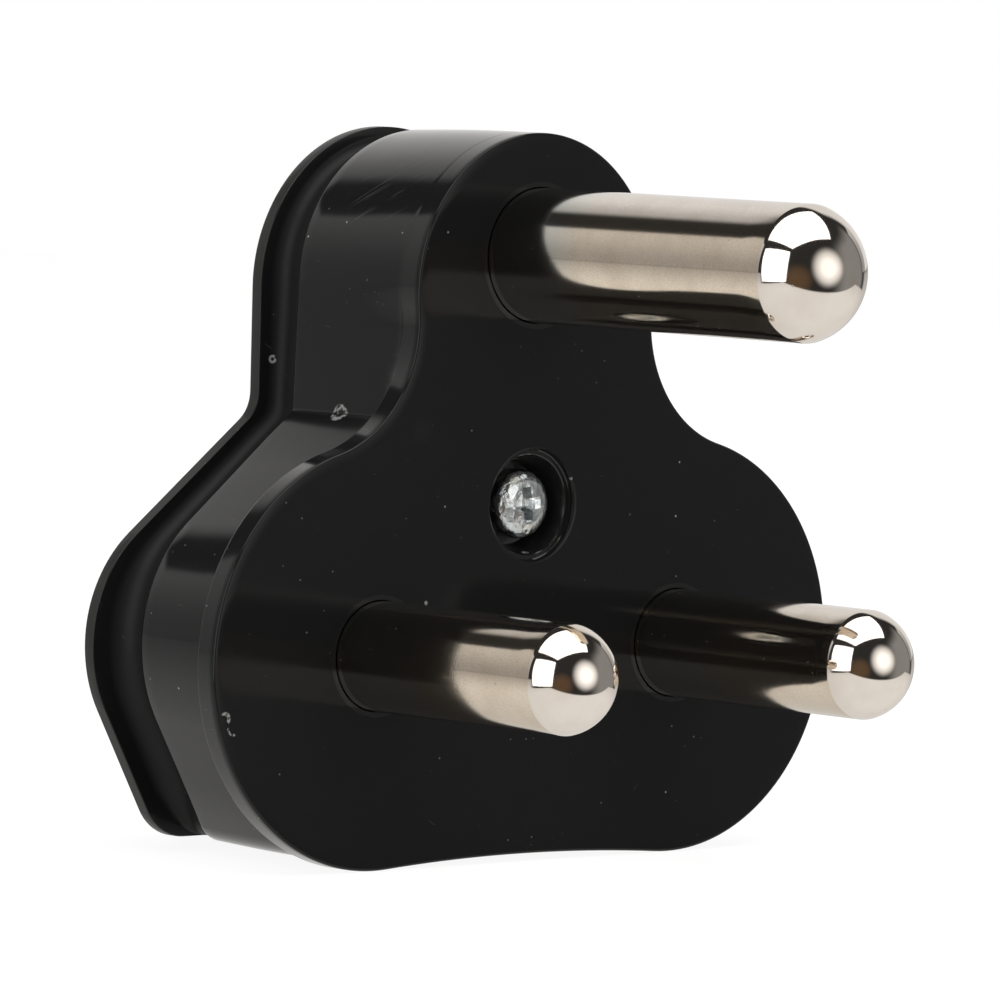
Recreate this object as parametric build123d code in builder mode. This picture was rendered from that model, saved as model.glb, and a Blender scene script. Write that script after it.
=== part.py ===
from build123d import *
import os
from math import acos, asin, atan2, cos, hypot, radians, sin, sqrt, tan

# A rewireable three-pin plug top with round pins.
# Frame: +X to the right when facing the pins, the pins point along -Y, +Z up to the earth pin.
# The origin is on the contact face, midway between the live and neutral pins.

# Pins, in mm
pin_spacing = 25.4
earth_height = 25.4
earth_pin_d = 8.71
earth_pin_reach = 28.58
earth_dome_h = 3.3
line_pin_d = 7.06
line_pin_reach = 21.0
line_dome_h = 2.74
pin_root_y = 0.15
pin_root_step = 0.2
pin_hole_clearance = 0.03
pin_hole_edge = 0.15

# Contact face: crown about the earth pin, waists, two lobes about the line pins
crown_r = 10.08
crown_z = 23.2
face_lobe_r = 13.6
face_lobe_x = 12.6
face_lobe_z = -0.15
waist_r = 8.5
foot_sweep_r = 150.0
rim_t = 1.7
face_edge_r = 0.3

# Side wall of the body, given by its corners where it leaves the rim
wall_crease = (10.35, 15.0)
wall_lobe = (25.35, 2.6)
wall_foot = (16.5, -13.05)
wall_lobe_r = 10.2
wall_foot_r = 2.1
wall_crease_r = 0.25
wall_draft = 1.1
wall_t = 2.0
face_t = 3.2
split_y = 12.4
wall_edge_r = 0.3

# Finger lip of the rear cover and the neck in front of it
lip_crown_r = 10.4
lip_crown_z = 22.75
lip_crease = (10.38, 14.79)
lip_lobe = (26.17, 2.21)
lip_foot = (17.86, -12.85)
lip_lobe_r = 9.0
lip_foot_r = 3.5
lip_crease_r = 2.4
lip_front_y = 15.4
lip_back_y = 16.3
neck_inset = 1.25
lip_edge_r = 0.1

# Domed back of the rear cover: depth of each section, and how far it is drawn in from the lip
back_mid_y = 20.2
back_mid_inset = 3.5
back_mid_foot = 0.5
back_turn_y = 22.9
back_turn_inset = 5.9
back_turn_foot = 1.2
back_y = 24.2
back_inset = 7.6
back_foot_inset = 2.4
back_t = 3.2
cover_wall_t = 2.8

# Spigot that centres the cover in the body
spigot_depth = 1.6
spigot_t = 1.0
spigot_clearance = 0.15
chamber_turn_y = 17.0
least_corner_r = 2.0

# Pin collars and terminal barrels
collar_over = 3.4
collar_t = 2.4
collar_clearance = 0.1
seat_wall = 1.4
seat_h = 3.0
barrel_over = 1.6
barrel_room = 0.5
barrel_gap = 0.3
barrel_end_y = 17.4
barrel_edge = 0.3
wire_hole_d = 3.6
wire_hole_y = 10.6

# Terminal screws
terminal_thread_d = 3.5
terminal_head_d = 5.6
terminal_head_h = 2.0
terminal_tip_y = 11.6
slot_w = 0.8
slot_depth = 0.9
terminal_point = 0.4
terminal_head_edge = 0.35
thread_clearance = 0.05

# Hold-down tubes of the cover, over the barrels
hold_down_clearance = 0.2
hold_down_bore = 6.4
head_room = 0.4

# Cover screw in its stepped recess, and its square nut
screw_z = 9.3
recess_d = 7.2
recess_step_depth = 0.5
recess_floor_d = 5.4
recess_floor_y = 2.6
recess_edge = 0.2
recess_step = 0.3
screw_head_d = 4.5
screw_head_h = 2.15
screw_thread_d = 2.5
screw_hole_clearance = 0.25
screw_tip_y = 14.8
screw_tip_room = 1.2
screw_head_edge = 0.8
cross_w = 0.8
cross_span = 2.6
cross_depth = 1.1
cross_taper = 8
pillar_d = 9.2
nut_w = 5.0
nut_t = 1.6
nut_gap = 0.1

# Cord inlet and cord grip
inlet_d = 8.6
inlet_overrun = 4.0
grip_z = -6.4
grip_screw_x = 6.9
grip_post_d = 4.4
grip_post_end_y = 15.6
grip_bar_len = 19.4
grip_bar_w = 5.2
grip_bar_t = 2.4
grip_rib_h = 0.7
grip_rib_len = 7.0
grip_rib_w = 1.6
grip_thread_d = 2.9
grip_head_d = 5.0
grip_head_h = 1.5
grip_screw_reach = 8.0
grip_hole_clearance = 0.2
grip_hole_spare = 0.3
grip_point = 0.5
grip_head_edge = 0.6
saddle_w = 2.4
saddle_rise = 0.9

# Webs between the earth and line chambers
web_t = 1.2
web_z = 10.6
web_x = 11.0
web_len = 6.8
web_drop = 0.3

os.makedirs("parts", exist_ok=True)


def station(y):
    """Sketch plane across the plug at depth y, with local axes X and Z."""
    return Plane.XZ.offset(-y)


def meet(p, q, r, s):
    """Point where the line through p and q crosses the line through r and s."""
    d1 = (q[0] - p[0], q[1] - p[1])
    d2 = (s[0] - r[0], s[1] - r[1])
    cross = d1[0] * d2[1] - d1[1] * d2[0]
    t = ((r[0] - p[0]) * d2[1] - (r[1] - p[1]) * d2[0]) / cross
    return (p[0] + t * d1[0], p[1] + t * d1[1])


def shifted(p, q, distance):
    """The segment from p to q, moved towards the inside of a clockwise outline."""
    length = hypot(q[0] - p[0], q[1] - p[1])
    nx = (q[1] - p[1]) / length * distance
    nz = -(q[0] - p[0]) / length * distance
    return (p[0] + nx, p[1] + nz), (q[0] + nx, q[1] + nz)


def touch(radius, centre_z, corner):
    """Point on the right of the crown circle where a line from the corner touches it."""
    dx = corner[0]
    dz = corner[1] - centre_z
    angle = atan2(dz, dx) + acos(radius / hypot(dx, dz))
    return (radius * cos(angle), centre_z + radius * sin(angle))


class Silhouette:
    """Round crown, waist crease, lobe and foot, mirrored about X = 0."""

    def __init__(self, radius, centre_z, crease, lobe, foot, radii):
        self.radius = radius
        self.centre_z = centre_z
        self.corners = (crease, lobe, foot)
        self.radii = radii

    def inset(self, distance, foot_distance):
        """The same silhouette drawn in by a distance, and by another along its foot."""
        crease, lobe, foot = self.corners
        start = touch(self.radius, self.centre_z, crease)
        flank = shifted(start, crease, distance)
        slope = shifted(crease, lobe, distance)
        tuck = shifted(lobe, foot, distance)
        sole = shifted(foot, (0, foot[1]), foot_distance)
        crease_r, lobe_r, foot_r = self.radii
        radii = (
            crease_r + distance,
            max(lobe_r - distance, least_corner_r),
            max(foot_r - distance, least_corner_r),
        )
        corners = (meet(*flank, *slope), meet(*slope, *tuck), meet(*tuck, *sole))
        return Silhouette(self.radius - distance, self.centre_z, *corners, radii)

    def sketch(self, y):
        """The outline as a face across the plug at depth y."""
        start = touch(self.radius, self.centre_z, self.corners[0])
        right = (start, *self.corners)
        left = [(-x, z) for x, z in reversed(right)]
        top = (0, self.centre_z + self.radius)
        with BuildSketch(station(y)) as profile:
            with BuildLine():
                ThreePointArc(left[-1], top, start)
                FilletPolyline(*right, *left, radius=(*self.radii, *reversed(self.radii)))
            make_face()
        return profile.sketch


wall = Silhouette(
    crown_r, crown_z, wall_crease, wall_lobe, wall_foot, (wall_crease_r, wall_lobe_r, wall_foot_r)
)
draft_inset = (split_y - rim_t) * tan(radians(wall_draft))
wall_rear = wall.inset(draft_inset, draft_inset)
lip = Silhouette(
    lip_crown_r, lip_crown_z, lip_crease, lip_lobe, lip_foot, (lip_crease_r, lip_lobe_r, lip_foot_r)
)
neck = wall_rear.inset(neck_inset, 0)
back_mid = lip.inset(back_mid_inset, back_mid_foot)
back_turn = lip.inset(back_turn_inset, back_turn_foot)
back = lip.inset(back_inset, back_foot_inset)


def toward(start, goal, distance):
    """The point a distance from start on the way to goal."""
    length = hypot(goal[0] - start[0], goal[1] - start[1])
    step = distance / length
    return (start[0] + (goal[0] - start[0]) * step, start[1] + (goal[1] - start[1]) * step)


def face_sketch(y):
    """Crown, hollow waists, lobes and the shallow sweep between the lobes."""
    dx = face_lobe_x
    dz = face_lobe_z - crown_z
    span = hypot(dx, dz)
    reach_crown = crown_r + waist_r
    reach_lobe = face_lobe_r + waist_r
    along = (reach_crown**2 - reach_lobe**2 + span**2) / (2 * span)
    across = sqrt(reach_crown**2 - along**2)
    waist = (dx / span * along - dz / span * across, crown_z + dz / span * along + dx / span * across)
    sweep = (0, face_lobe_z - sqrt((foot_sweep_r + face_lobe_r) ** 2 - face_lobe_x**2))
    crown = (0, crown_z)
    lobe = (face_lobe_x, face_lobe_z)
    crown_end = toward(crown, waist, crown_r)
    lobe_start = toward(lobe, waist, face_lobe_r)
    lobe_end = toward(lobe, sweep, face_lobe_r)
    shoulder = toward(crown, (crown_r, crown_z + crown_r), crown_r)
    middle = (0.5 * (crown_end[0] + lobe_start[0]), 0.5 * (crown_end[1] + lobe_start[1]))
    with BuildSketch(station(y)) as profile:
        with BuildLine():
            ThreePointArc((0, crown_z + crown_r), shoulder, crown_end)
            ThreePointArc(crown_end, toward(waist, middle, waist_r), lobe_start)
            ThreePointArc(lobe_start, (face_lobe_x + face_lobe_r, face_lobe_z), lobe_end)
            RadiusArc(lobe_end, (0, sweep[1] + foot_sweep_r), -foot_sweep_r)
            mirror(about=Plane.YZ)
        make_face()
    return profile.sketch


# Where each pin stands: name, X, Z, diameter, reach in front of the face, height of the dome
pins = (
    ("earth", 0, earth_height, earth_pin_d, earth_pin_reach, earth_dome_h),
    ("live", -pin_spacing / 2, 0, line_pin_d, line_pin_reach, line_dome_h),
    ("neutral", pin_spacing / 2, 0, line_pin_d, line_pin_reach, line_dome_h),
)
ceiling_y = back_y - back_t
spigot_end_y = split_y - spigot_depth
chamber_inset = wall_t + spigot_clearance + spigot_t
body_chamber = wall_rear.inset(wall_t, wall_t)
cover_chamber = wall_rear.inset(chamber_inset, chamber_inset)
cover_ceiling = lip.inset(back_turn_inset + cover_wall_t, back_turn_foot + cover_wall_t)


def across_flats(width):
    """Corner radius of a hexagon of this width across its flats."""
    return width / sqrt(3)


# Body: contact face, rim, side wall, pin seats, screw pillar, grip posts and webs in one moulding
face_outline = face_sketch(0)
wall_front = wall.sketch(rim_t)
wall_back = wall_rear.sketch(split_y)
chamber_floor = body_chamber.sketch(face_t)

with BuildPart() as hollow:
    extrude(chamber_floor, amount=face_t - split_y)
    for _, pin_x, pin_z, pin_d, _, _ in pins:
        with BuildSketch(station(face_t)):
            with Locations((pin_x, pin_z)):
                Circle((pin_d + barrel_over) / 2 + barrel_gap)
        extrude(amount=face_t - split_y)
    for _, pin_x, pin_z, pin_d, _, _ in pins:
        with BuildSketch(station(face_t)):
            with Locations((pin_x, pin_z)):
                Circle(across_flats(pin_d + collar_over) + collar_clearance + seat_wall)
        extrude(amount=-seat_h, mode=Mode.SUBTRACT)
    with BuildSketch(station(face_t)):
        with Locations((0, screw_z)):
            Circle(pillar_d / 2)
    extrude(amount=face_t - split_y, mode=Mode.SUBTRACT)
    with BuildSketch(station(face_t)):
        with Locations((0, grip_z)):
            Rectangle(2 * grip_screw_x, saddle_w)
    extrude(amount=face_t - (split_y - inlet_d / 2 + saddle_rise), mode=Mode.SUBTRACT)
    with BuildSketch(station(face_t)):
        with Locations((-web_x, web_z), (web_x, web_z)):
            Rectangle(web_len, web_t)
    extrude(amount=face_t - (spigot_end_y - web_drop), mode=Mode.SUBTRACT)

with BuildPart() as body:
    extrude(face_outline, amount=-rim_t)
    fillet(body.faces().sort_by(Axis.Y)[0].edges(), face_edge_r)
    loft([wall_front.face(), wall_back.face()])
    fillet(body.faces().sort_by(Axis.Y)[-1].edges(), wall_edge_r)
    add(hollow.part, mode=Mode.SUBTRACT)
    with BuildSketch(station(face_t)):
        with Locations((-grip_screw_x, grip_z), (grip_screw_x, grip_z)):
            Circle(grip_post_d / 2)
    extrude(amount=face_t - grip_post_end_y)
    for _, pin_x, pin_z, pin_d, _, _ in pins:
        pin_hole_r = pin_d / 2 + pin_root_step + pin_hole_clearance
        with BuildSketch(Plane((pin_x, 0, pin_z))):
            with BuildLine():
                Polyline(
                    (0, 0),
                    (pin_hole_r + pin_hole_edge, 0),
                    (pin_hole_r, pin_hole_edge),
                    (pin_hole_r, face_t),
                    (0, face_t),
                    close=True,
                )
            make_face()
        revolve(axis=Axis((pin_x, 0, pin_z), (0, 1, 0)), mode=Mode.SUBTRACT)
        with BuildSketch(station(face_t)):
            with Locations((pin_x, pin_z)):
                RegularPolygon(across_flats(pin_d + collar_over) + collar_clearance, 6)
        extrude(amount=-seat_h, mode=Mode.SUBTRACT)
    with BuildSketch(Plane((0, 0, screw_z))):
        with BuildLine():
            Polyline(
                (0, 0),
                (recess_d / 2 + recess_edge, 0),
                (recess_d / 2, recess_edge),
                (recess_d / 2, recess_step_depth),
                (recess_d / 2 - recess_step, recess_step_depth),
                (recess_floor_d / 2, recess_floor_y),
                (screw_thread_d / 2 + screw_hole_clearance, recess_floor_y),
                (screw_thread_d / 2 + screw_hole_clearance, split_y),
                (0, split_y),
                close=True,
            )
        make_face()
    revolve(axis=Axis((0, 0, screw_z), (0, 1, 0)), mode=Mode.SUBTRACT)
    with BuildSketch(station(grip_post_end_y)):
        with Locations((-grip_screw_x, grip_z), (grip_screw_x, grip_z)):
            Circle(grip_thread_d / 2 + thread_clearance)
    extrude(amount=grip_screw_reach + grip_hole_spare, mode=Mode.SUBTRACT)
    with BuildSketch(Plane.XY.offset(lip_foot[1] - inlet_overrun)):
        with Locations((0, split_y)):
            Circle(inlet_d / 2)
    extrude(amount=grip_z + saddle_w - lip_foot[1] + inlet_overrun, mode=Mode.SUBTRACT)
body.part.label = "body"
export_step(body.part, "parts/body.step")

# Rear cover: spigot, neck, finger lip and domed back over its own chamber
spigot_outline = wall_rear.inset(wall_t + spigot_clearance, wall_t + spigot_clearance).sketch(spigot_end_y)
neck_outline = neck.sketch(split_y)
lip_outline = lip.sketch(lip_front_y)
lip_rear = lip.sketch(lip_back_y)
mid_outline = back_mid.sketch(back_mid_y)
turn_outline = back_turn.sketch(back_turn_y)
back_outline = back.sketch(back_y)
chamber_mouth = cover_chamber.sketch(spigot_end_y)
chamber_rear = cover_chamber.sketch(chamber_turn_y)
chamber_ceiling = cover_ceiling.sketch(ceiling_y)

with BuildPart() as chamber:
    extrude(chamber_mouth, amount=spigot_end_y - chamber_turn_y)
    loft([chamber_rear.face(), chamber_ceiling.face()])
    for _, pin_x, pin_z, pin_d, _, _ in pins:
        with BuildSketch(station(spigot_end_y)):
            with Locations((pin_x, pin_z)):
                Circle((pin_d + barrel_over) / 2 + barrel_room)
        extrude(amount=spigot_end_y - barrel_end_y - hold_down_clearance)
        with BuildSketch(station(barrel_end_y + hold_down_clearance)):
            with Locations((pin_x, pin_z)):
                Circle((pin_d + barrel_over) / 2)
                Circle(hold_down_bore / 2, mode=Mode.SUBTRACT)
        extrude(amount=-back_y, mode=Mode.SUBTRACT)
        with BuildSketch(station(barrel_end_y)):
            with Locations((pin_x, pin_z)):
                Circle(hold_down_bore / 2)
        extrude(amount=-(terminal_head_h + head_room))
    with BuildSketch(station(split_y)):
        with Locations((0, screw_z)):
            Circle(pillar_d / 2)
    extrude(amount=-back_y, mode=Mode.SUBTRACT)

with BuildPart() as rear_cover:
    extrude(spigot_outline, amount=-spigot_depth)
    extrude(neck_outline, amount=split_y - lip_front_y)
    extrude(lip_outline, amount=lip_front_y - lip_back_y)
    fillet(rear_cover.faces().filter_by(Plane.XZ).sort_by(Axis.Y)[-2].outer_wire().edges(), lip_edge_r)
    loft([lip_rear.face(), mid_outline.face(), turn_outline.face(), back_outline.face()], ruled=True)
    add(chamber.part, mode=Mode.SUBTRACT)
    with BuildSketch(station(split_y)):
        with Locations((0, screw_z)):
            Rectangle(nut_w + 2 * nut_gap, nut_w + 2 * nut_gap)
    extrude(amount=-(nut_t + 2 * nut_gap), mode=Mode.SUBTRACT)
    with BuildSketch(station(split_y)):
        with Locations((0, screw_z)):
            Circle(screw_thread_d / 2 + screw_hole_clearance)
    extrude(amount=split_y - screw_tip_y - screw_tip_room, mode=Mode.SUBTRACT)
    with BuildSketch(Plane.XY.offset(lip_foot[1] - inlet_overrun)):
        with Locations((0, split_y)):
            Circle(inlet_d / 2)
    extrude(amount=grip_z + saddle_w - lip_foot[1] + inlet_overrun, mode=Mode.SUBTRACT)
rear_cover.part.label = "rear_cover"
export_step(rear_cover.part, "parts/rear_cover.step")


def turned_pin(pin_x, pin_z, pin_d, reach, dome_h):
    """A pin turned from brass: dome, shank, hexagonal collar and terminal barrel."""
    dome_r = (pin_d**2 / 4 + dome_h**2) / (2 * dome_h)
    half_turn = asin(pin_d / 2 / dome_r) / 2
    dome_middle = (dome_r * sin(half_turn), -reach + dome_r * (1 - cos(half_turn)))
    barrel_r = (pin_d + barrel_over) / 2
    axis = Axis((pin_x, 0, pin_z), (0, 1, 0))
    with BuildPart() as pin:
        with BuildSketch(Plane((pin_x, 0, pin_z))):
            with BuildLine():
                ThreePointArc((0, -reach), dome_middle, (pin_d / 2, dome_h - reach))
                Polyline(
                    (pin_d / 2, dome_h - reach),
                    (pin_d / 2, pin_root_y),
                    (pin_d / 2 + pin_root_step, pin_root_y + pin_root_step),
                    (pin_d / 2 + pin_root_step, face_t),
                    (barrel_r, face_t),
                    (barrel_r, barrel_end_y - barrel_edge),
                    (barrel_r - barrel_edge, barrel_end_y),
                    (0, barrel_end_y),
                    (0, -reach),
                )
            make_face()
        revolve(axis=axis)
        with BuildSketch(station(face_t)):
            with Locations((pin_x, pin_z)):
                RegularPolygon(across_flats(pin_d + collar_over), 6)
        extrude(amount=-collar_t)
        with BuildSketch(Plane.XY.offset(pin_z)):
            with Locations((pin_x, wire_hole_y)):
                Circle(wire_hole_d / 2)
        extrude(amount=pin_d, both=True, mode=Mode.SUBTRACT)
        with BuildSketch(station(barrel_end_y)):
            with Locations((pin_x, pin_z)):
                Circle(terminal_thread_d / 2 + thread_clearance)
        extrude(amount=barrel_end_y - wire_hole_y, mode=Mode.SUBTRACT)
    return pin.part


def slotted_screw(pin_x, pin_z):
    """A cheese-head terminal screw, run down onto the end of its barrel."""
    with BuildPart() as screw:
        with BuildSketch(station(barrel_end_y)):
            with Locations((pin_x, pin_z)):
                Circle(terminal_thread_d / 2)
        extrude(amount=barrel_end_y - terminal_tip_y)
        chamfer(screw.edges().sort_by(Axis.Y)[0], terminal_point)
        with BuildSketch(station(barrel_end_y)):
            with Locations((pin_x, pin_z)):
                Circle(terminal_head_d / 2)
        extrude(amount=-terminal_head_h)
        fillet(screw.edges().filter_by(GeomType.CIRCLE).sort_by(Axis.Y)[-1], terminal_head_edge)
        with BuildSketch(station(barrel_end_y + terminal_head_h)):
            with Locations((pin_x, pin_z)):
                Rectangle(terminal_head_d, slot_w)
        extrude(amount=slot_depth, mode=Mode.SUBTRACT)
    return screw.part


for pin_name, pin_x, pin_z, pin_d, pin_reach, dome_h in pins:
    pin_part = turned_pin(pin_x, pin_z, pin_d, pin_reach, dome_h)
    pin_part.label = pin_name + "_pin"
    export_step(pin_part, "parts/" + pin_part.label + ".step")
    screw_part = slotted_screw(pin_x, pin_z)
    screw_part.label = pin_name + "_terminal_screw"
    export_step(screw_part, "parts/" + screw_part.label + ".step")

# Cover screw: pan head with a cross recess, sunk below the contact face
with BuildPart() as cover_screw:
    with BuildSketch(station(recess_floor_y)):
        with Locations((0, screw_z)):
            Circle(screw_head_d / 2)
    extrude(amount=screw_head_h)
    fillet(cover_screw.edges().filter_by(GeomType.CIRCLE).sort_by(Axis.Y)[0], screw_head_edge)
    with BuildSketch(station(recess_floor_y)):
        with Locations((0, screw_z)):
            Circle(screw_thread_d / 2)
    extrude(amount=recess_floor_y - screw_tip_y)
    with BuildSketch(station(recess_floor_y - screw_head_h)):
        with Locations((0, screw_z)):
            Rectangle(cross_span, cross_w)
            Rectangle(cross_w, cross_span)
    extrude(amount=-cross_depth, taper=cross_taper, mode=Mode.SUBTRACT)
cover_screw.part.label = "cover_screw"
export_step(cover_screw.part, "parts/cover_screw.step")

# Square nut, held in its pocket in the cover
with BuildPart() as cover_nut:
    with BuildSketch(station(split_y + nut_gap)):
        with Locations((0, screw_z)):
            Rectangle(nut_w, nut_w)
            Circle(screw_thread_d / 2 + thread_clearance, mode=Mode.SUBTRACT)
    extrude(amount=-nut_t)
cover_nut.part.label = "cover_nut"
export_step(cover_nut.part, "parts/cover_nut.step")

# Cord grip: a bar with a gripping rib, on two screws
with BuildPart() as grip_bar:
    with BuildSketch(station(grip_post_end_y)):
        with Locations((0, grip_z)):
            SlotOverall(grip_bar_len, grip_bar_w)
        with Locations((-grip_screw_x, grip_z), (grip_screw_x, grip_z)):
            Circle(grip_thread_d / 2 + grip_hole_clearance, mode=Mode.SUBTRACT)
    extrude(amount=-grip_bar_t)
    with BuildSketch(station(grip_post_end_y)):
        with Locations((0, grip_z)):
            SlotOverall(grip_rib_len, grip_rib_w)
    extrude(amount=grip_rib_h)
grip_bar.part.label = "cord_grip_bar"
export_step(grip_bar.part, "parts/cord_grip_bar.step")

for side, screw_x in (("left", -grip_screw_x), ("right", grip_screw_x)):
    with BuildPart() as grip_screw:
        with BuildSketch(station(grip_post_end_y + grip_bar_t)):
            with Locations((screw_x, grip_z)):
                Circle(grip_thread_d / 2)
        extrude(amount=grip_bar_t + grip_screw_reach)
        chamfer(grip_screw.edges().sort_by(Axis.Y)[0], grip_point)
        with BuildSketch(station(grip_post_end_y + grip_bar_t)):
            with Locations((screw_x, grip_z)):
                Circle(grip_head_d / 2)
        extrude(amount=-grip_head_h)
        fillet(grip_screw.edges().filter_by(GeomType.CIRCLE).sort_by(Axis.Y)[-1], grip_head_edge)
        with BuildSketch(station(grip_post_end_y + grip_bar_t + grip_head_h)):
            with Locations((screw_x, grip_z)):
                Rectangle(grip_head_d, slot_w)
        extrude(amount=slot_depth, mode=Mode.SUBTRACT)
    grip_screw.part.label = "cord_grip_screw_" + side
    export_step(grip_screw.part, "parts/" + grip_screw.part.label + ".step")
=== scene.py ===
from math import acos, atan2, cos, hypot, pi, radians, sin

import bmesh
import bpy
from mathutils import Matrix, Vector


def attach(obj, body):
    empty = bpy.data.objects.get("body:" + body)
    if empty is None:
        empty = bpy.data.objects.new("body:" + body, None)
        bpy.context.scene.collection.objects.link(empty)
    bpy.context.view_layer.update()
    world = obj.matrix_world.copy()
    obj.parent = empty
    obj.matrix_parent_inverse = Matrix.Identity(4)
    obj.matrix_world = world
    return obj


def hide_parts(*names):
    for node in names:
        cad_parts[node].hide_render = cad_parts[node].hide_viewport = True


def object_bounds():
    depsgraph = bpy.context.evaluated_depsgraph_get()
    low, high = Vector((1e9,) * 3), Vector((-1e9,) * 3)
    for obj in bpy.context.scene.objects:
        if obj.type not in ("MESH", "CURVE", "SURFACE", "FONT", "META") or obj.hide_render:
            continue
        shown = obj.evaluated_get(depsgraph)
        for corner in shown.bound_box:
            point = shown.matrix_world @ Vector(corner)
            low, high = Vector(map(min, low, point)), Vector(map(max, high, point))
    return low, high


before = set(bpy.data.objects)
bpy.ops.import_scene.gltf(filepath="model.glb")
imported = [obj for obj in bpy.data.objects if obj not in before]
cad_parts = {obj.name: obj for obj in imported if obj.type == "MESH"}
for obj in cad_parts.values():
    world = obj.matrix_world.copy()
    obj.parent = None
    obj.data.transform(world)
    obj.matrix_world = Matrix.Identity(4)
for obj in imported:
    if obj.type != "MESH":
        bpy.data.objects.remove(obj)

cad_low, cad_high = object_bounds()

MM = 0.001


# Sizes in millimetres, as the moulded and turned parts have them
PIN_SPACING = 25.4
EARTH_HEIGHT = 25.4
PIN_ROOT_Y = 0.15
PIN_HOLE_GAP = 0.06
PIN_HOLE_EDGE = 0.26
# name, X, Z, radius, reach, dome height
PINS = (
    ("earth_pin", 0, EARTH_HEIGHT, 4.355, 28.58, 3.3),
    ("live_pin", -PIN_SPACING / 2, 0, 3.53, 21.0, 2.74),
    ("neutral_pin", PIN_SPACING / 2, 0, 3.53, 21.0, 2.74),
)
# The dome meets the shank at a slight edge: how far in, and how far it reaches each way
DOME_EDGE_IN, DOME_EDGE_FRONT, DOME_EDGE_REAR = 0.012, 0.03, 0.06
PLATE_T = 3.2
RIM_T = 1.7
SPLIT_Y = 12.4
WALL_T = 2.0
WALL_DRAFT = 1.1
LIP_FRONT_Y = 15.4
LIP_BACK_Y = 16.3
NECK_INSET = 1.25
COVER_SKIN = 2.15
BACK_Y = 24.2
# The back's bevel: depths, how far in it leans a mm of depth at the sides and at the foot, and
# the three points of the turn to the flat back as (inset, foot inset, depth)
BEVEL_YS = (16.5, 18.2, 20.0, 21.6)
BEVEL_IN, BEVEL_FOOT_IN = 0.9, 0.16
BACK_TURN = ((4.77, 0.85, 21.6), (7.11, 1.26, BACK_Y), (9.0, 3.4, BACK_Y))
BACK_TURN_STEPS = 8
INLET_R = 4.3
SCREW_Z = 9.3
TERMINAL_THREAD_D = 3.5
TERMINAL_HEAD_H = 2.0
TERMINAL_PITCH = 0.6
GRIP_SCREW_X = 6.9
GRIP_Z = -6.4
GRIP_THREAD_D = 2.9
GRIP_HEAD_H = 1.5
GRIP_PITCH = 0.55
COVER_THREAD_D = 2.5
COVER_PITCH = 0.45
COVER_THREAD_RUN = 5.0
THREAD_RIDGE = 0.2
THREAD_POINT = 0.5

# Head of the cover screw and the cross recess in it
HEAD_TOP_Y = 0.45
HEAD_SEAT_Y = 2.6
HEAD_R = 2.25
HEAD_NECK_R = 1.25
# radius, depth below the top of the head
HEAD_CROWN = (
    (0.001, 0.02), (0.5, 0.02), (1.0, 0.05), (1.5, 0.13), (1.85, 0.28), (2.1, 0.5), (2.22, 0.8),
)
HEAD_SIDE_DEPTH = 1.1
CROSS_R = 1.35
CROSS_W = 0.42
CROSS_DEPTH = 1.15
CROSS_TURN = 0.12

# Recess of the cover screw in the face: radius, depth
RECESS = (
    (3.8, 0), (3.66, 0.05), (3.6, 0.2), (3.6, 0.44), (3.54, 0.5), (3.3, 0.5), (3.24, 0.54),
    (2.7, 2.6), (1.5, 2.6), (1.5, 3.0),
)
RECESS_FLOOR_Y = 3.0

# The inlet is cut from below the foot up to these heights
INLET_FROM_Z = -17
BODY_INLET_Z = -10.86
COVER_INLET_Z = -9.72
INLET_BACK_Y = 17
COVER_INSIDE_Y = 21.4

# Outline of the face
CROWN_R, CROWN_Z = 10.08, 23.2
LOBE_R, LOBE_X, LOBE_Z = 13.6, 12.6, -0.15
WAIST_R = 8.5
SWEEP_R = 150.0

# Small radii that the mould leaves
FACE_EDGE_R = 0.18
RIM_REAR_R = 0.12
WALL_REAR_R = 0.3
LIP_EDGE_R = 0.08
NECK_COVE_R = 1.5

# How the wall swells, how its root is tucked under the rim, and how it meets the rim on the flanks
WALL_BELLY = 0.06
ROOT_TUCK = 0.015
RING_DEPTHS = (0.15, 0.35, 0.6, 0.9, 1.25, 1.7, 2.3, 3.1, 4.1, 5.2, 6.3, 7.4, 8.5, 9.6)
FACE_SUPPORT = 0.6
FLANK_X, FLANK_TOP_Z = 9.5, 24
FLANK_FADE_Z, FLANK_FADE = 15.7, 2.0
FLANK_SHARE, FLANK_STEP = 0.85, 0.1
FLANK_COVE = (0.5, 2.2)
FLANK_DRAW = 4.5

# Points closer than this are one, and a face this close to a plane lies on it
MERGE = 0.0005
ON_PLANE = 0.001

# Camera fitted to the photo: degrees, then mm
CAMERA_AZIMUTH, CAMERA_ELEVATION, CAMERA_ROLL = -41.2432, 3.7621, 1.4913
CAMERA_PLACE = (-363.91, -411.84, 45.72)
CAMERA_LENS, CAMERA_SENSOR = 307.83, 36

# Lamps and the room's lights, as places in metres or directions from the plug
FRONT_LAMP = (0.2, -0.965, 0.19)
FRONT_GLOW = (0.2, -0.965, 0.17)
WARM_HAZE = (-0.62, -0.77, -0.15)
ROOM_DARK = 0.03
FLOOR_DROP = 0.00002
FLOOR_CORNERS = ((-0.6, -0.5), (0.6, -0.5), (0.6, 0.9), (-0.6, 0.9))
PAPER_GLOW, PAPER_GLOW_SHARE = 1.14, 0.8

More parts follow.
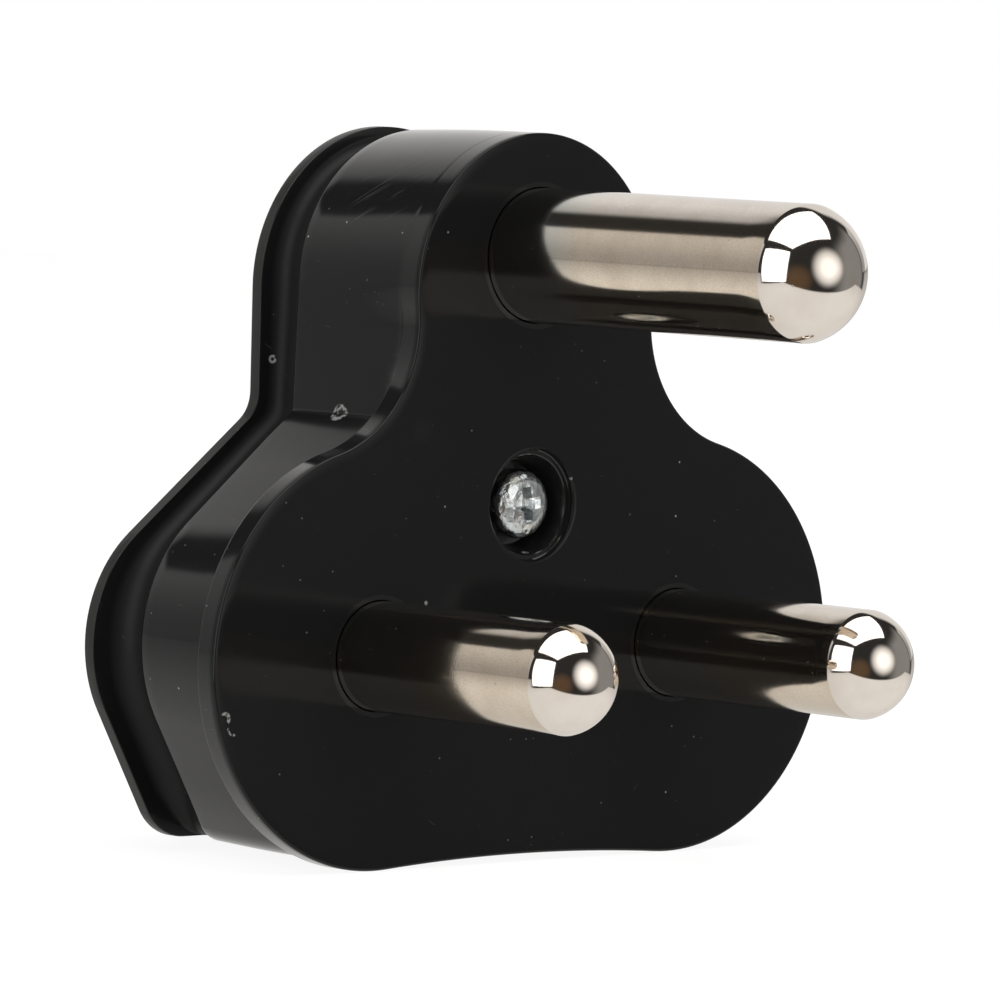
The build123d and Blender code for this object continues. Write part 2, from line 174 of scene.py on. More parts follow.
# Larger marks on the moulding: place, radius and width of the ring or dot, then the way
# that an open ring faces and how far round it runs
MARKS = (
    ((-25.2, 0.0, -3.5), 0.3, 0.16, (0.7, 0.7), -0.2),
    ((-24.5, 0.0, -4.1), 0.45, 0.1, (-0.6, -0.8), 0.5),
    ((-10.1, 7.2, 14.81), 0.62, 0.22, None, 0),
    ((-10.1, 7.6, 14.81), 0.2, 0.2, None, 0),
    ((-9.33, 15.4, 18.02), 0.22, 0.1, None, 0),
    ((-9.2, 10.0, 29.0), 0.25, 0.08, (0.0, 1.0), -0.3),
    ((-8.9, 9.2, 29.2), 0.25, 0.08, (0.0, -1.0), -0.3),
    ((-8.87, 0.0, 3.26), 0.0, 0.18, None, 0),
    ((0.25, 0.9, 6.25), 0.1, 0.22, None, 0),
    ((3.25, 0.05, 10.95), 0.0, 0.16, None, 0),
)
# Families of fine straight scratches: length, width, turn, rarity
FACE_SCRATCHES = ((3.2, 0.05, 0.5, 0.80), (2.6, 0.05, -0.9, 0.80), (4.0, 0.06, 1.4, 0.81))
# and of the rubbed place on the crown: length, rarity, lean
CROWN_SCRATCHES = ((7.0, 0.70, -0.62), (6.0, 0.71, -0.5))
CROWN_RUB = (-7.0, 6.5, 30.0)
WAIST_HAZE = (-9.57, 0, 14.2)


def turn(x, z, angle):
    return x * cos(angle) - z * sin(angle), x * sin(angle) + z * cos(angle)


class Outline:
    """A closed outline seen from the front: points with their outward normals, in mm."""

    def __init__(self, samples):
        self.points = [(x, z) for x, z, _, _ in samples]
        self.normals = [(nx, nz) for _, _, nx, nz in samples]

    def moved_in(self, distance):
        """The points moved straight in by a distance, or by one distance for each point."""
        if not hasattr(distance, "__len__"):
            distance = [distance] * len(self.points)
        return [
            (x - nx * d, z - nz * d)
            for (x, z), (nx, nz), d in zip(self.points, self.normals, distance)
        ]


def arc_samples(cx, cz, radius, start, end, count, hollow=False):
    """Points along an arc between two angles, the first left out."""
    found = []
    for i in range(1, count + 1):
        a = start + (end - start) * i / count
        side = -1 if hollow else 1
        nx, nz = cos(a), sin(a)
        found.append((cx + radius * nx, cz + radius * nz, side * nx, side * nz))
    return found


def mirrored(right):
    """The right half from the top down to the foot, closed by its mirror image."""
    inner = [s for s in right if abs(s[0]) > 1e-6]
    left = [(-x, z, -nx, nz) for x, z, nx, nz in reversed(inner)]
    return Outline(right + left)


def line_samples(start, end, count):
    """Points along a straight run, the first left out, with the normal on its left."""
    dx, dz = end[0] - start[0], end[1] - start[1]
    length = hypot(dx, dz)
    nx, nz = -dz / length, dx / length
    return [
        (start[0] + dx * i / count, start[1] + dz * i / count, nx, nz)
        for i in range(1, count + 1)
    ]


class Silhouette:
    """Round crown, waist crease, lobe and foot, mirrored about X = 0."""

    def __init__(self, radius, centre_z, crease, lobe, foot, radii):
        self.radius, self.centre_z, self.radii = radius, centre_z, radii
        self.corners = (crease, lobe, foot)

    def touch(self):
        """The angle on the crown circle where the flank leaves it."""
        crease = self.corners[0]
        dx, dz = crease[0], crease[1] - self.centre_z
        return atan2(dz, dx) + acos(self.radius / hypot(dx, dz))

    def inset(self, distance, foot_distance, least=2.0):
        crease, lobe, foot = self.corners
        a = self.touch()
        start = (self.radius * cos(a), self.centre_z + self.radius * sin(a))
        runs = [
            shifted(start, crease, distance),
            shifted(crease, lobe, distance),
            shifted(lobe, foot, distance),
            shifted(foot, (0, foot[1]), foot_distance),
        ]
        corners = [meet(*runs[i], *runs[i + 1]) for i in range(3)]
        crease_r, lobe_r, foot_r = self.radii
        lobe_r, foot_r = max(lobe_r - distance, least), max(foot_r - distance, least)
        radii = (crease_r + distance, lobe_r, foot_r)
        return Silhouette(self.radius - distance, self.centre_z, *corners, radii)

    def outline(self):
        """The same count of points on every silhouette, so that sections join point to point."""
        a = self.touch()
        right = [(0, self.centre_z + self.radius, 0, 1)]
        right += arc_samples(0, self.centre_z, self.radius, pi / 2, a, 40)
        path = [(right[-1][0], right[-1][1]), *self.corners, (0, self.corners[2][1])]
        here = path[0]
        for i, (radius, steps) in enumerate(zip(self.radii, (10, 30, 12))):
            before, corner, after = path[i], path[i + 1], path[i + 2]
            a1 = atan2(corner[1] - before[1], corner[0] - before[0])
            a2 = atan2(after[1] - corner[1], after[0] - corner[0])
            bend = (a2 - a1 + pi) % (2 * pi) - pi
            reach = radius * abs(sin(bend / 2) / cos(bend / 2))
            enter = (corner[0] - reach * cos(a1), corner[1] - reach * sin(a1))
            side = 1 if bend > 0 else -1
            cx, cz = enter[0] - side * radius * sin(a1), enter[1] + side * radius * cos(a1)
            first = atan2(enter[1] - cz, enter[0] - cx)
            right += line_samples(here, enter, 14 if i == 0 else 3)
            last = first + bend
            right += arc_samples(cx, cz, radius, first, last, steps, hollow=bend > 0)
            here = (right[-1][0], right[-1][1])
        right += line_samples(here, path[-1], 6)
        return mirrored(right)


def meet(p, q, r, s):
    """Where the line through p and q crosses the line through r and s."""
    d1 = (q[0] - p[0], q[1] - p[1])
    d2 = (s[0] - r[0], s[1] - r[1])
    t = ((r[0] - p[0]) * d2[1] - (r[1] - p[1]) * d2[0]) / (d1[0] * d2[1] - d1[1] * d2[0])
    return (p[0] + t * d1[0], p[1] + t * d1[1])


def shifted(p, q, distance):
    """The segment from p to q moved towards the inside of a clockwise outline."""
    length = hypot(q[0] - p[0], q[1] - p[1])
    nx, nz = (q[1] - p[1]) / length * distance, -(q[0] - p[0]) / length * distance
    return (p[0] + nx, p[1] + nz), (q[0] + nx, q[1] + nz)


def face_outline():
    """Crown, hollow waists, lobes and the shallow sweep between the lobes."""
    dx, dz = LOBE_X, LOBE_Z - CROWN_Z
    span = hypot(dx, dz)
    along = ((CROWN_R + WAIST_R) ** 2 - (LOBE_R + WAIST_R) ** 2 + span**2) / (2 * span)
    across = ((CROWN_R + WAIST_R) ** 2 - along**2) ** 0.5
    wx = dx / span * along - dz / span * across
    wz = CROWN_Z + dz / span * along + dx / span * across
    sz = LOBE_Z - ((SWEEP_R + LOBE_R) ** 2 - LOBE_X**2) ** 0.5
    crown_end = atan2(wz - CROWN_Z, wx)
    waist_start = crown_end + pi
    waist_end = atan2(LOBE_Z - wz, LOBE_X - wx) + 2 * pi
    lobe_start = atan2(wz - LOBE_Z, wx - LOBE_X)
    lobe_end = atan2(sz - LOBE_Z, -LOBE_X) - 2 * pi
    if lobe_end < lobe_start - 2 * pi:
        lobe_end += 2 * pi
    right = [(0, CROWN_Z + CROWN_R, 0, 1)]
    right += arc_samples(0, CROWN_Z, CROWN_R, pi / 2, crown_end, 48)
    right += arc_samples(wx, wz, WAIST_R, waist_start, waist_end, 30, hollow=True)
    right += arc_samples(LOBE_X, LOBE_Z, LOBE_R, lobe_start, lobe_end, 72)
    sweep_start = atan2(LOBE_Z - sz, LOBE_X)
    right += arc_samples(0, sz, SWEEP_R, sweep_start, pi / 2, 10, hollow=True)
    return mirrored(right)


# Crease, lobe and foot corners, then their radii
WALL = Silhouette(CROWN_R, CROWN_Z, (10.35, 15.0), (25.35, 2.6), (16.5, -13.05), (0.25, 10.2, 2.1))
DRAFT = (SPLIT_Y - RIM_T) * sin(radians(WALL_DRAFT)) / cos(radians(WALL_DRAFT))
WALL_REAR = WALL.inset(DRAFT, DRAFT)
NECK = WALL_REAR.inset(NECK_INSET, 0)
LIP = Silhouette(10.4, 22.75, (10.38, 14.79), (26.17, 2.21), (17.86, -12.85), (2.4, 9.0, 3.5))


class Builder:
    """Collects the faces of one moulding or turned piece, in mm."""

    def __init__(self):
        self.bm = bmesh.new()

    def ring(self, points, y):
        """A loop of vertices at depth y, or at one depth for each point."""
        if not hasattr(y, "__len__"):
            y = [y] * len(points)
        return [self.bm.verts.new((x, d, z)) for (x, z), d in zip(points, y)]

    def join(self, rings):
        """Quads between each ring and the next."""
        for a, b in zip(rings, rings[1:]):
            n = len(a)
            for i in range(n):
                self.bm.faces.new((a[i], a[(i + 1) % n], b[(i + 1) % n], b[i]))

    def plate(self, loops):
        """A flat face inside the first loop and outside the others."""
        edges = []
        for loop in loops:
            n = len(loop)
            for i in range(n):
                pair = (loop[i], loop[(i + 1) % n])
                edges.append(self.bm.edges.get(pair) or self.bm.edges.new(pair))
        bmesh.ops.triangle_fill(self.bm, use_beauty=True, use_dissolve=False, edges=edges)

    def lathe(self, profile, cx, cz, steps):
        """Rings of a profile of (radius, y) turned about an axis along Y."""
        turns = [2 * pi * i / steps for i in range(steps)]
        rings = [
            self.ring([(cx + radius * sin(a), cz + radius * cos(a)) for a in turns], y)
            for radius, y in profile
        ]
        self.join(rings)
        return rings

    def take(self, node, keep):
        """Adds the faces of a CAD node that keep(list of corners in mm) accepts."""
        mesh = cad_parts[node].data.copy()
        part = bmesh.new()
        part.from_mesh(mesh)
        bmesh.ops.scale(part, vec=(1 / MM,) * 3, verts=part.verts)
        bmesh.ops.remove_doubles(part, verts=part.verts, dist=MERGE)
        drop = [f for f in part.faces if not keep([v.co for v in f.verts])]
        bmesh.ops.delete(part, geom=drop, context="FACES")
        part.to_mesh(mesh)
        part.free()
        self.bm.from_mesh(mesh)
        bpy.data.meshes.remove(mesh)

    def drop(self, test):
        """Removes the faces whose middle passes the test."""
        gone = [f for f in self.bm.faces if test(f.calc_center_median())]
        bmesh.ops.delete(self.bm, geom=gone, context="FACES")

    def finish(self, name, node, slot, material, sharp=32.0):
        """Makes the piece that stands for a CAD node."""
        bmesh.ops.remove_doubles(self.bm, verts=self.bm.verts, dist=MERGE)
        bmesh.ops.scale(self.bm, vec=(MM,) * 3, verts=self.bm.verts)
        obj = add_object(name, self.bm, sharp)
        self.bm.free()
        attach(obj, "root")
        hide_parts(node)
        obj.data.materials.clear()
        obj.data.materials.append(material)
        return obj


def add_object(name, bm, sharp):
    """A mesh object with smooth faces and hard edges beyond the given angle."""
    limit = radians(sharp)
    for face in bm.faces:
        face.smooth = True
    for edge in bm.edges:
        edge.smooth = len(edge.link_faces) == 2 and edge.calc_face_angle(pi) < limit
    mesh = bpy.data.meshes.new(name)
    bm.to_mesh(mesh)
    obj = bpy.data.objects.new(name, mesh)
    bpy.context.scene.collection.objects.link(obj)
    weighted = obj.modifiers.new("even_normals", "WEIGHTED_NORMAL")
    weighted.mode = "FACE_AREA"
    weighted.keep_sharp = True
    return obj


def rounding(radius, steps=4):
    """(inset, depth) of a quarter round between a face and a side, from the face on."""
    return [
        (radius * (1 - sin(pi / 2 * i / steps)), radius * (1 - cos(pi / 2 * i / steps)))
        for i in range(steps + 1)
    ]


def nearest(point, loop):
    """Distance from a point to a closed run of points."""
    best = 1e9
    px, pz = point
    for (ax, az), (bx, bz) in zip(loop, loop[1:] + loop[:1]):
        dx, dz = bx - ax, bz - az
        size = dx * dx + dz * dz
        t = max(0, min(1, ((px - ax) * dx + (pz - az) * dz) / size)) if size else 0
        best = min(best, hypot(px - ax - t * dx, pz - az - t * dz))
    return best


def carved(bm, tool_bm, crossing=False):
    """A piece less a tool, whose parts may cross each other. Both bmeshes are used up."""
    objects, meshes = [], []
    for name, source in (("uncut", bm), ("tool", tool_bm)):
        mesh = bpy.data.meshes.new(name)
        source.to_mesh(mesh)
        source.free()
        obj = bpy.data.objects.new(name, mesh)
        bpy.context.scene.collection.objects.link(obj)
        objects.append(obj)
        meshes.append(mesh)
    boolean = objects[0].modifiers.new("carve", "BOOLEAN")
    boolean.operation, boolean.solver, boolean.object = "DIFFERENCE", "EXACT", objects[1]
    boolean.use_self = crossing
    graph = bpy.context.evaluated_depsgraph_get()
    result = bpy.data.meshes.new_from_object(objects[0].evaluated_get(graph))
    done = bmesh.new()
    done.from_mesh(result)
    for obj in objects:
        bpy.data.objects.remove(obj)
    for mesh in (*meshes, result):
        bpy.data.meshes.remove(mesh)
    return done


def cut_inlet(bm, top_z):
    """The piece less the half-round cord inlet, a cylinder along Z at the split."""
    tool = Builder()
    count = 72
    turns = [2 * pi * i / count for i in range(count)]
    low, high = [
        [tool.bm.verts.new((INLET_R * cos(a), SPLIT_Y + INLET_R * sin(a), z)) for a in turns]
        for z in (INLET_FROM_Z, top_z)
    ]
    tool.join([low, high])
    tool.bm.faces.new(list(reversed(low)))
    tool.bm.faces.new(high)
    bmesh.ops.recalc_face_normals(tool.bm, faces=tool.bm.faces)
    return carved(bm, tool.bm)


def enclosed_by(loop):
    """A test for points that lie within a closed run of points."""

    def inside(x, z):
        found = False
        for (ax, az), (bx, bz) in zip(loop, loop[1:] + loop[:1]):
            if (az > z) != (bz > z) and x < (bx - ax) * (z - az) / (bz - az) + ax:
                found = not found
        return found

    return inside


def inside_test(silhouette, distance):
    """A test for points that lie within a silhouette drawn in by a distance."""
    return enclosed_by(silhouette.inset(distance, distance, least=1.0).outline().points)


within_body = inside_test(WALL_REAR, WALL_T - 0.05)
near_inside = inside_test(WALL_REAR, WALL_T - 0.02)
within_cover = inside_test(WALL_REAR, COVER_SKIN - 0.05)
within_spigot = inside_test(WALL_REAR, COVER_SKIN + 0.02)


def flank_lift(point, overhang):
    """How far the wall's root swells out, or draws in, to the rim on the crown's flanks."""
    x, z = abs(point[0]), point[1]
    if x < FLANK_X or z > FLANK_TOP_Z:
        return 0
    if overhang < 0:
        return overhang
    fade = max(0, min(1, (z - FLANK_FADE_Z) / FLANK_FADE))
    return FLANK_SHARE * max(overhang - FLANK_STEP, 0) * fade * fade * (3 - 2 * fade)


def make_body(material):
    """Face with its holes, rim, drafted wall and shoulder at the split, over the CAD inside."""
    b = Builder()
    face = face_outline()
    wall = WALL.outline()
    wall_rear = WALL_REAR.outline()
    overhang = [nearest(p, wall.points) for p in face.points]
    rear_r = [min(RIM_REAR_R, 0.4 * w) for w in overhang]
    support = b.ring(face.moved_in(FACE_EDGE_R + FACE_SUPPORT), 0)
    rings = [support]
    rings += [b.ring(face.moved_in(i), y) for i, y in rounding(FACE_EDGE_R)]
    for share_in, share_y in reversed(rounding(1.0, 3)):
        inset = face.moved_in([r * share_in for r in rear_r])
        rings.append(b.ring(inset, [RIM_T - r * share_y for r in rear_r]))
    b.join(rings)

    on_rim = enclosed_by(face.points)
    lift = []
    for p in wall.points:
        away = nearest(p, face.points)
        lift.append(flank_lift(p, away if on_rim(*p) else -away))
    root = b.ring(wall.moved_in([ROOT_TUCK - out for out in lift]), RIM_T)
    b.plate([rings[-1], root])
    reach = [FLANK_DRAW if o < 0 else FLANK_COVE[0] + FLANK_COVE[1] * o for o in lift]
    run = SPLIT_Y - WALL_REAR_R - RIM_T
    sections = [root]
    for depth in RING_DEPTHS:
        share = depth / run
        middle = WALL.inset(DRAFT * share, DRAFT * share).outline()
        swell = WALL_BELLY * sin(pi * share)
        cove = [o * max(0, 1 - depth / r) ** 2 for o, r in zip(lift, reach)]
        sections.append(b.ring(middle.moved_in([-swell - c for c in cove]), RIM_T + depth))
    for i, y in reversed(rounding(WALL_REAR_R)):
        sections.append(b.ring(wall_rear.moved_in(i), SPLIT_Y - y))
    inner = b.ring(WALL_REAR.inset(WALL_T, WALL_T).outline().points, SPLIT_Y)
    b.join([*sections, inner])
    b.bm.faces.new(inner)

    holes = []
    for _, x, z, r, _, _ in PINS:
        hole_r = r + PIN_HOLE_GAP
        profile = [(hole_r + PIN_HOLE_EDGE - i, y) for i, y in rounding(PIN_HOLE_EDGE, 3)]
        holes.append(b.lathe([*profile, (hole_r, PLATE_T)], x, z, 96))
    holes.append(b.lathe(RECESS, 0, SCREW_Z, 96))
    for hole in holes:
        b.bm.faces.new(hole[-1])
    b.plate([support, *[hole[0] for hole in holes]])
    bmesh.ops.recalc_face_normals(b.bm, faces=b.bm.faces)
    b.bm = cut_inlet(b.bm, BODY_INLET_Z)

    def closes_inside(c):
        """The faces that only closed the shell, where the CAD inside takes over."""
        at_depth = any(abs(c.y - y) < ON_PLANE for y in (SPLIT_Y, PLATE_T, RECESS_FLOOR_Y))
        in_chamber = c.z > BODY_INLET_Z - 0.01 and c.y > PLATE_T + 0.01
        return (at_depth or in_chamber) and near_inside(c.x, c.z)

    b.drop(closes_inside)
    b.take("body", lambda v: all(p.y > PLATE_T - 0.01 and within_body(p.x, p.z) for p in v))
    return b.finish("body_moulding", "body", "housing", material)


def back_sections():
    """(inset, foot inset, depth) from the lip over a bevel and a rounded turn to the flat back."""
    sections = []
    for y in BEVEL_YS:
        rise = y - LIP_BACK_Y
        sections.append((BEVEL_IN * rise, BEVEL_FOOT_IN * rise, y))
    for i in range(1, BACK_TURN_STEPS + 1):
        t = i / BACK_TURN_STEPS
        shares = ((1 - t) ** 2, 2 * t * (1 - t), t * t)
        sections.append(
            tuple(sum(w * c for w, c in zip(shares, triple)) for triple in zip(*BACK_TURN))
        )
    return sections


def make_cover(material):
    """Neck with its cove, finger lip and domed back, over the CAD part's inside."""
    b = Builder()
    neck = NECK.outline()
    lip = LIP.outline()
    spigot = b.ring(WALL_REAR.inset(COVER_SKIN, COVER_SKIN).outline().points, SPLIT_Y)
    rings = [spigot]
    for inset, rise in ((0.25, 0), (0.05, 0.1), (0, 0.3)):
        rings.append(b.ring(neck.moved_in(inset), SPLIT_Y + rise))
    cove = [min(NECK_COVE_R, 0.6 * nearest(p, lip.points)) for p in neck.points]
    for out, up in rounding(1.0, 6):
        inset = neck.moved_in([-c * up for c in cove])
        rings.append(b.ring(inset, [LIP_FRONT_Y - c * out for c in cove]))
    for i, y in rounding(LIP_EDGE_R, 3):
        rings.append(b.ring(lip.moved_in(i), LIP_FRONT_Y + y))
    for i, y in reversed(rounding(LIP_EDGE_R * 0.7, 3)[1:]):
        rings.append(b.ring(lip.moved_in(i), LIP_BACK_Y - y))
    rings += [b.ring(LIP.inset(i, f).outline().points, y) for i, f, y in back_sections()]
    b.join(rings)
    b.bm.faces.new(rings[-1])
    b.bm.faces.new(list(reversed(spigot)))
    bmesh.ops.recalc_face_normals(b.bm, faces=b.bm.faces)
    b.bm = cut_inlet(b.bm, COVER_INLET_Z)
    b.drop(lambda c: abs(c.y - SPLIT_Y) < ON_PLANE and within_spigot(c.x, c.z))
    b.drop(lambda c: abs(c.z - COVER_INLET_Z) < 2 * ON_PLANE and c.y < INLET_BACK_Y)
    b.take(
        "rear_cover", lambda v: all(p.y < COVER_INSIDE_Y and within_cover(p.x, p.z) for p in v)
    )
    return b.finish("cover_moulding", "rear_cover", "housing", material)


def make_pin(name, x, z, r, reach, dome_h, material):
    """Domed shank turned smooth, over the CAD part's collar and barrel."""
    b = Builder()
    dome_r = (r * r + dome_h * dome_h) / (2 * dome_h)
    half = atan2(r, dome_r - dome_h)
    steps = 36
    profile = []
    for i in range(steps + 1):
        a = half * i / steps
        profile.append((max(dome_r * sin(a), 0.001), dome_r * (1 - cos(a)) - reach))
    edge = dome_h - reach
    profile[-1] = (r - DOME_EDGE_IN, edge - DOME_EDGE_FRONT)
    profile += [(r, edge + DOME_EDGE_REAR)]
    profile += [(r, edge + (PIN_ROOT_Y - edge) * i / 12) for i in range(1, 13)]
    profile += [(r, PLATE_T)]
    rings = b.lathe(profile, x, z, 160)
    b.bm.faces.new(rings[0])
    bmesh.ops.recalc_face_normals(b.bm, faces=b.bm.faces)
    b.take(name, lambda v: all(p.y > PLATE_T - 0.01 for p in v))
    return b.finish(name + "_turned", name, "pin_plating", material)


def make_cover_screw(tree, material):
    """Pan head with a burred cross recess, and the CAD shank threaded where the nut holds it."""
    b = Builder()
    profile = [(r, HEAD_TOP_Y + depth) for r, depth in HEAD_CROWN]
    profile += [(HEAD_R, HEAD_TOP_Y + HEAD_SIDE_DEPTH), (HEAD_R, HEAD_SEAT_Y)]
    profile += [(HEAD_NECK_R, HEAD_SEAT_Y), (HEAD_NECK_R, HEAD_SEAT_Y + 0.3)]
    rings = b.lathe(profile, 0, SCREW_Z, 96)
    b.bm.faces.new(rings[0])
    b.bm.faces.new(rings[-1])
    bmesh.ops.recalc_face_normals(b.bm, faces=b.bm.faces)

    tool = Builder()
    mouth = (HEAD_TOP_Y - 0.3, CROSS_W, CROSS_R)
    floor_of_cross = (HEAD_TOP_Y + CROSS_DEPTH, CROSS_W * 0.55, CROSS_R * 0.35)
    for turned in (CROSS_TURN, CROSS_TURN + pi / 2):
        corners = []
        for y, width, length in (mouth, floor_of_cross):
            loop = []
            for sx, sz in ((-1, -1), (1, -1), (1, 1), (-1, 1)):
                px, pz = turn(sx * length, sz * width, turned)
                loop.append(tool.bm.verts.new((px, y, SCREW_Z + pz)))
            corners.append(loop)
        tool.join(corners)
        tool.bm.faces.new(corners[0])
        tool.bm.faces.new(list(reversed(corners[1])))
    bmesh.ops.recalc_face_normals(tool.bm, faces=tool.bm.faces)
    b.bm = carved(b.bm, tool.bm, crossing=True)

    b.take("cover_screw", lambda v: all(p.y > HEAD_SEAT_Y + 0.01 for p in v))
    tip = max(v.co.y for v in b.bm.verts) - THREAD_POINT
    start = (0, tip - COVER_THREAD_RUN, SCREW_Z)
    wind_thread(b, tree, start, COVER_THREAD_D / 2, COVER_PITCH, COVER_THREAD_RUN, material)
    return b.finish("cover_screw_plated", "cover_screw", "screw_plating", material, sharp=28)


def thread_tree():
    """A ridge wound round an axis along Y; its sizes are the tree's inputs."""
    tree = bpy.data.node_groups.new("screw_thread", "GeometryNodeTree")
    tree.interface.new_socket(name="Geometry", in_out="OUTPUT", socket_type="NodeSocketGeometry")
    for name, kind in (
        ("Radius", "Float"), ("Pitch", "Float"), ("Length", "Float"),
        ("Start", "Vector"), ("Material", "Material"),
    ):
        tree.interface.new_socket(name=name, in_out="INPUT", socket_type="NodeSocket" + kind)
    g = Nodes(tree)
    given = g.node("NodeGroupInput").outputs
    pitch = Sum(g, given["Pitch"])
    radius = Sum(g, given["Radius"])
    path = g.node(
        "GeometryNodeCurveSpiral", None,
        {
            "Resolution": 24, "Rotations": Sum(g, given["Length"]) / pitch,
            "Start Radius": radius, "End Radius": radius, "Height": given["Length"],
        },
    )
    ridge = g.node(
        "GeometryNodeCurvePrimitiveCircle", None,
        {"Resolution": 6, "Radius": pitch * THREAD_RIDGE},
    )
    wound = g.node(
        "GeometryNodeCurveToMesh", None,
        {
            "Curve": path.outputs["Curve"], "Profile Curve": ridge.outputs["Curve"],
            "Fill Caps": True,
        },
    )
    placed = g.node(
        "GeometryNodeTransform", None,
        {
            "Geometry": wound.outputs["Mesh"], "Rotation": (-pi / 2, 0, 0),
            "Translation": given["Start"],
        },
    )
    real = g.node("GeometryNodeRealizeInstances", None, {"Geometry": placed.outputs["Geometry"]})
    done = g.node(
        "GeometryNodeSetMaterial", None,
        {"Geometry": real.outputs["Geometry"], "Material": given["Material"]},
    )
    g.node("NodeGroupOutput", None, {"Geometry": done.outputs["Geometry"]})
    return tree


def wind_thread(b, tree, start, radius, pitch, length, material):
    """Adds a thread's ridge, in mm, to a screw."""
    mesh = bpy.data.meshes.new("thread")
    holder = bpy.data.objects.new("thread", mesh)
    bpy.context.scene.collection.objects.link(holder)
    wind = holder.modifiers.new("wind", "NODES")
    wind.node_group = tree
    socket = {i.name: i.identifier for i in tree.interface.items_tree if i.in_out == "INPUT"}
    wanted = {
        "Radius": radius, "Pitch": pitch, "Length": length, "Start": start, "Material": material,
    }
    for name, value in wanted.items():
        wind[socket[name]] = value
    graph = bpy.context.evaluated_depsgraph_get()
    made = bpy.data.meshes.new_from_object(holder.evaluated_get(graph))
    holder.modifiers.remove(wind)
    b.bm.from_mesh(made)
    bpy.data.objects.remove(holder)
    for m in (mesh, made):
        bpy.data.meshes.remove(m)


def make_screw(node, x, z, head_h, thread_d, pitch, slot, tree, material):
    """A slotted screw: the CAD part with its thread wound on."""
    b = Builder()
    b.take(node, lambda v: True)
    depths = [v.co.y for v in b.bm.verts]
    tip, under_head = min(depths) + THREAD_POINT, max(depths) - head_h
    wind_thread(b, tree, (x, tip, z), thread_d / 2, pitch, under_head - tip - pitch / 2, material)
    return b.finish(node + "_threaded", node, slot, material)


class Sum:
    """A socket that takes part in arithmetic: an expression on it adds its Math nodes."""

    def __init__(self, shop, socket):
        self.shop, self.socket = shop, socket

    def _math(self, operation, *others):
        return self.shop.maths(operation, self, *others)

    def __add__(self, other):
        return self._math("ADD", other)

    def __sub__(self, other):
        return self._math("SUBTRACT", other)

    def __mul__(self, other):
        return self._math("MULTIPLY", other)

    def __truediv__(self, other):
        return self._math("DIVIDE", other)

    def __rsub__(self, other):
        return self.shop.maths("SUBTRACT", other, self)

    def __rtruediv__(self, other):
        return self.shop.maths("DIVIDE", other, self)

    __radd__, __rmul__ = __add__, __mul__

    def above(self, low, high):
        """0 below low, 1 above high, and smooth between."""
        node = self.shop.node(
            "ShaderNodeMapRange", {"interpolation_type": "SMOOTHSTEP"},
            {"Value": self, "From Min": low, "From Max": high},
        )
        return Sum(self.shop, node.outputs["Result"])

    def most(self, other):
        return self._math("MAXIMUM", other)

    def least(self, other):
        return self._math("MINIMUM", other)

    def power(self, other):
        return self._math("POWER", other)

    def size(self):
        return self._math("ABSOLUTE")


class Nodes:
    """A node tree, and the few ways in which nodes are added to it."""

    def __init__(self, tree):
        self.tree = tree

    def node(self, kind, settings=None, sockets=None):
        """A node with its settings made first, then the values or links of its sockets."""
        made = self.tree.nodes.new(kind)
        for key, value in (settings or {}).items():
            setattr(made, key, value)
        for key, value in (sockets or {}).items():
            self.feed(made.inputs[key], value)
        return made

    def feed(self, socket, value):
        if isinstance(value, Sum):
            value = value.socket
        if isinstance(value, bpy.types.NodeSocket):
            self.tree.links.new(value, socket)
        else:
            socket.default_value = value

    def maths(self, operation, *values):
        made = self.tree.nodes.new("ShaderNodeMath")
        made.operation = operation
        for socket, value in zip(made.inputs, values):
            self.feed(socket, value)
        return Sum(self, made.outputs[0])

    def split(self, vector):
        """X, Y and Z of a vector."""
        made = self.node("ShaderNodeSeparateXYZ", None, {0: vector})
        return [Sum(self, made.outputs[k]) for k in "XYZ"]

    def along(self, direction, axis):
        """How nearly a direction points along an axis: 1 where it does."""
        made = self.node(
            "ShaderNodeVectorMath", {"operation": "DOT_PRODUCT"}, {0: direction, 1: axis}
        )
        return Sum(self, made.outputs["Value"])

    def shiny(self, path):
        """1 for what gloss, metal and clear things see."""
        return self.maths(
            "MAXIMUM", path.outputs["Is Glossy Ray"], path.outputs["Is Transmission Ray"]
        )

    def mixed(self, share, first, second):
        """A shader between two, by a share."""
        made = self.node("ShaderNodeMixShader", None, {0: share, 1: first, 2: second})
        return made.outputs[0]


